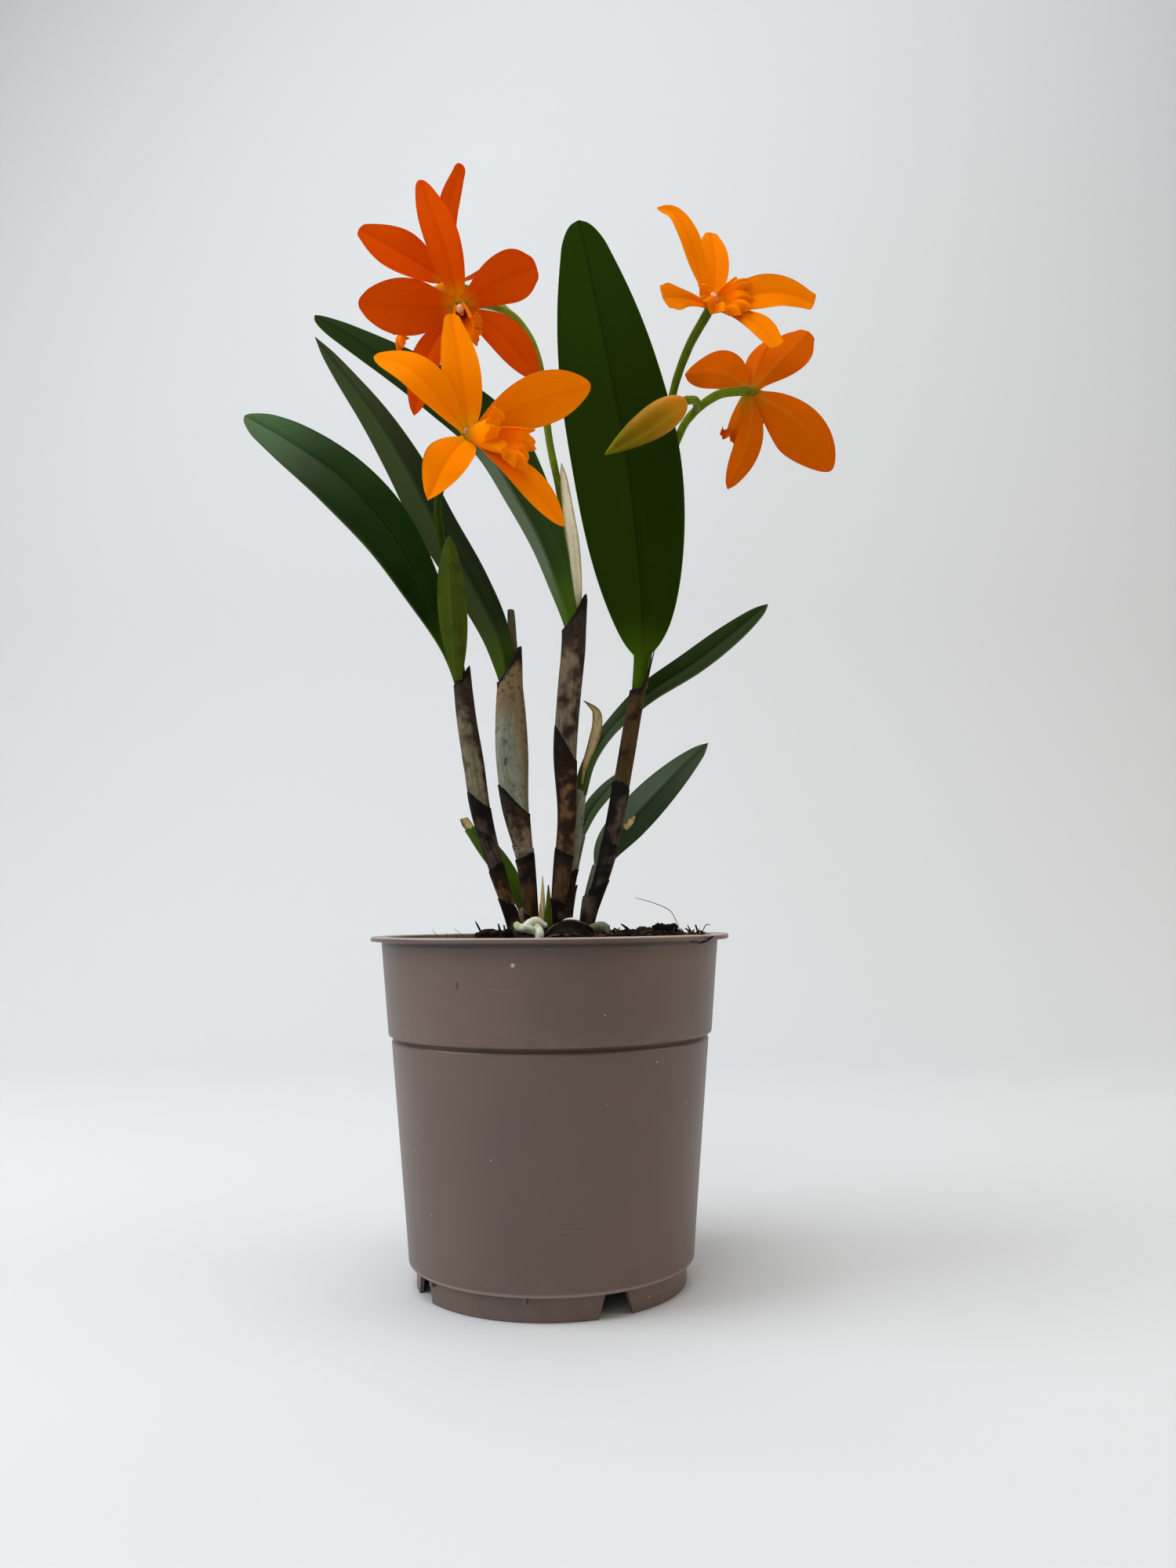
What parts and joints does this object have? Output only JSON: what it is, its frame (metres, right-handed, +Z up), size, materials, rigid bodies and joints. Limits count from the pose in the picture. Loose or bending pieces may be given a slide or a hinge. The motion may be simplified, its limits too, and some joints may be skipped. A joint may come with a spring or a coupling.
{
  "type": "cattleya orchid in nursery pot",
  "caption": "Flowering cattleya orchid: orange blooms and a bud on green stalks, leathery leaves on jointed sheathed canes, rooted in bark in a round moulded plastic nursery pot.",
  "frame": {"origin": "middle of the pot's foot, on the surface that it stands on", "axes": "+Z up; +X to the plant's right and +Y to its back, as seen from the front"},
  "size_m": [0.2121, 0.12, 0.4052],
  "materials": {
    "pot_plastic": "satin injection-moulded polypropylene, taupe",
    "bark_medium": "rough composted fir bark, damp",
    "leaf_green": "waxy leathery leaf, glossy above",
    "cane_mottled": "papery brown sheath, mottled",
    "cane_silvery": "papery silver-grey sheath, ribbed",
    "sheath_green": "fresh green sheath, satin",
    "sheath_dry": "dry papery sheath",
    "sheath_black": "rotted black sheath",
    "stalk_green": "smooth fleshy green stalk",
    "petal_red": "velvety sparkling petal, red-orange",
    "petal_gold": "velvety sparkling petal, golden orange",
    "petal_deep": "matt petal back, deep orange",
    "bud_skin": "waxy closed sepals, olive to orange",
    "root_skin": "spongy white root skin with green tips"
  },
  "bodies": {
    "root": {"pot": "pot_plastic", "growing_medium": "bark_medium", "cane_a": "cane_mottled", "cane_b": "cane_silvery", "cane_c": "cane_mottled", "cane_d": "cane_mottled", "bulb_e": "cane_silvery", "bulb_f": "cane_silvery", "bulb_g": "cane_silvery", "bulb_h": "cane_mottled", "leaf_a": "leaf_green", "leaf_b": "leaf_green", "leaf_c": "leaf_green", "leaf_d": "leaf_green", "leaf_e": "leaf_green", "leaf_f": "leaf_green", "leaf_g": "leaf_green", "leaf_h": "leaf_green", "spathe_a": "sheath_green", "spathe_b": "sheath_dry", "spathe_c": "sheath_dry", "spathe_e": "sheath_dry", "stalk_a": "stalk_green", "stalk_c": "stalk_green", "stalk_d": "stalk_green", "flower_1": "petal_red", "flower_2": "petal_red", "flower_3": "petal_gold", "flower_4": "petal_gold", "flower_5": "petal_deep", "bud": "bud_skin", "roots_left": "root_skin", "root_right": "root_skin", "shoot_cream": "sheath_dry", "shoot_green": "sheath_green", "old_sheath": "sheath_black"}
  },
  "joints": []
}
